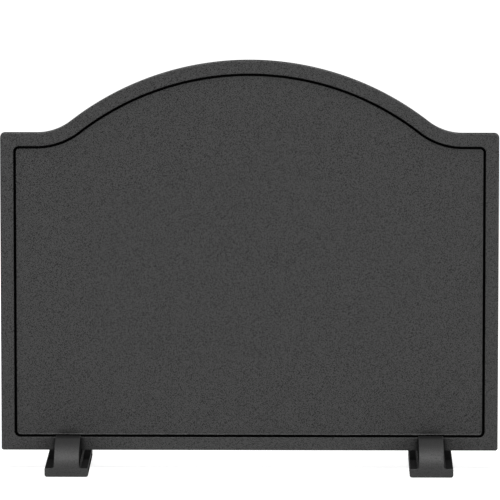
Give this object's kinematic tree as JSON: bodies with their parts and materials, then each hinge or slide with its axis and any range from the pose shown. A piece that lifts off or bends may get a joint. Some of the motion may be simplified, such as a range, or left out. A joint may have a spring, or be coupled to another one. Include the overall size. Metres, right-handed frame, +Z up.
{
  "type": "fireback",
  "caption": "Free-standing cast-iron fireback: an arched plate with a raised border and grooved rim, held upright by slotted feet that bolt on from behind.",
  "frame": {"origin": "on the floor, midway between the feet and at the middle of their length", "axes": "+Z up, +X to the right along the plate as seen from the front, -Y out of the front of the plate"},
  "size_m": [0.6, 0.142, 0.4958],
  "materials": {
    "plate_iron": "matt black heat-resistant coat on fine-grained cast iron",
    "foot_iron": "the same black coat on a smoother casting",
    "fastener_steel": "dark zinc plating, worn on the corners"
  },
  "bodies": {
    "root": {"plate": "plate_iron", "left_foot": "foot_iron", "right_foot": "foot_iron", "left_bolt": "fastener_steel", "right_bolt": "fastener_steel", "left_flat_washer": "fastener_steel", "right_flat_washer": "fastener_steel", "left_spring_washer": "fastener_steel", "right_spring_washer": "fastener_steel"}
  },
  "joints": []
}
